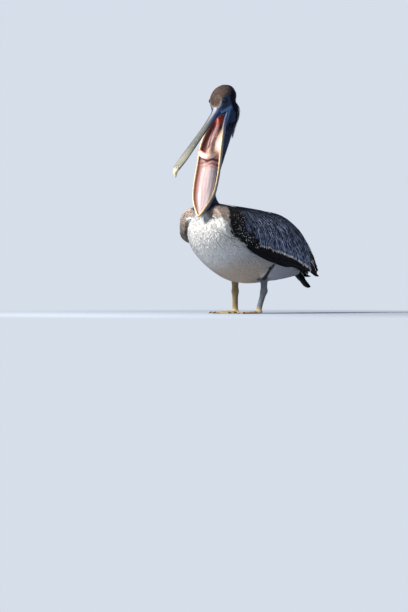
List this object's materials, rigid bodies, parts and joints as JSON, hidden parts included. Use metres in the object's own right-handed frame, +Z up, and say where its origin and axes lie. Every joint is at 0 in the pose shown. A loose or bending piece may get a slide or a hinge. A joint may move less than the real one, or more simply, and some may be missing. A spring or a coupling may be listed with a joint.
{
  "type": "brown pelican",
  "caption": "Young brown pelican standing on both feet with its long bill wide open and the pouch drawn back over its neck.",
  "frame": {"origin": "centre of the foot of the bounding box, on the floor that the feet stand on", "axes": "+Z up; the trunk faces -Y, so the bird's left side is +X; the head is turned a little towards +X"},
  "size_m": [0.2658, 0.7076, 0.8339],
  "materials": {
    "crown_feathers": "soft brown down",
    "neck_feathers": "soft dusky down",
    "breast_feathers": "soft pale down",
    "wing_coverts": "dusky feathers with pale edges",
    "flight_feathers": "stiff blackish feathers",
    "eye": "wet gloss",
    "bill_horn": "satin horn",
    "bill_nail": "satin horn",
    "jaw_rim": "satin horn",
    "pouch_skin": "moist skin",
    "leg_skin": "scaled skin",
    "web_skin": "scaled skin",
    "claw_horn": "dark horn"
  },
  "bodies": {
    "root": {"head": "crown_feathers", "eye_left": "eye", "eye_right": "eye", "bill_upper": "bill_horn", "bill_nail": "bill_nail", "jaw_left": "jaw_rim", "jaw_right": "jaw_rim", "throat_roll": "pouch_skin", "pouch": "pouch_skin", "neck_upper": "neck_feathers", "neck_lower": "neck_feathers", "tail": "flight_feathers", "trunk": "breast_feathers", "wing_left_coverts": "wing_coverts", "wing_left_flight": "flight_feathers", "shin_left": "leg_skin", "tarsus_left": "leg_skin", "foot_left": "web_skin", "claw_left_outer": "claw_horn", "claw_left_middle": "claw_horn", "claw_left_inner": "claw_horn", "claw_left_hind": "claw_horn", "wing_right_coverts": "wing_coverts", "wing_right_flight": "flight_feathers", "shin_right": "leg_skin", "tarsus_right": "leg_skin", "foot_right": "web_skin", "claw_right_outer": "claw_horn", "claw_right_middle": "claw_horn", "claw_right_inner": "claw_horn", "claw_right_hind": "claw_horn"}
  },
  "joints": []
}
